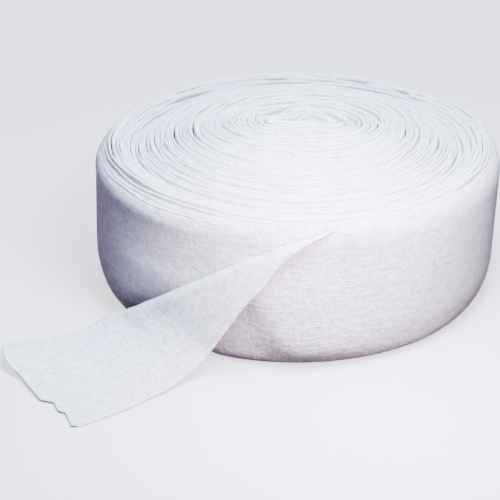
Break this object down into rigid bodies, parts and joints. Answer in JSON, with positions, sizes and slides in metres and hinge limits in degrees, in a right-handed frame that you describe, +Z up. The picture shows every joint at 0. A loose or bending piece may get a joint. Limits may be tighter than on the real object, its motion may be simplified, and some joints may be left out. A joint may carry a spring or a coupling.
{
  "type": "stockinette roll",
  "caption": "Roll of white knitted tubular stockinette, wound flat on itself without a core, its loose end folded over at the front and laid out.",
  "frame": {"origin": "centre of the roll's flat base, on the surface it rests on", "axes": "+Z up along the winding axis; the loose end leaves the front (-Y) and lies out towards -X and -Y"},
  "size_m": [0.235, 0.2526, 0.0843],
  "materials": {
    "knit_wound": "matt knitted cotton, turns seen on edge",
    "knit_loose": "matt knitted cotton, fine ribs along the tube"
  },
  "bodies": {
    "root": {"wound_roll": "knit_wound", "loose_end": "knit_loose"}
  },
  "joints": []
}
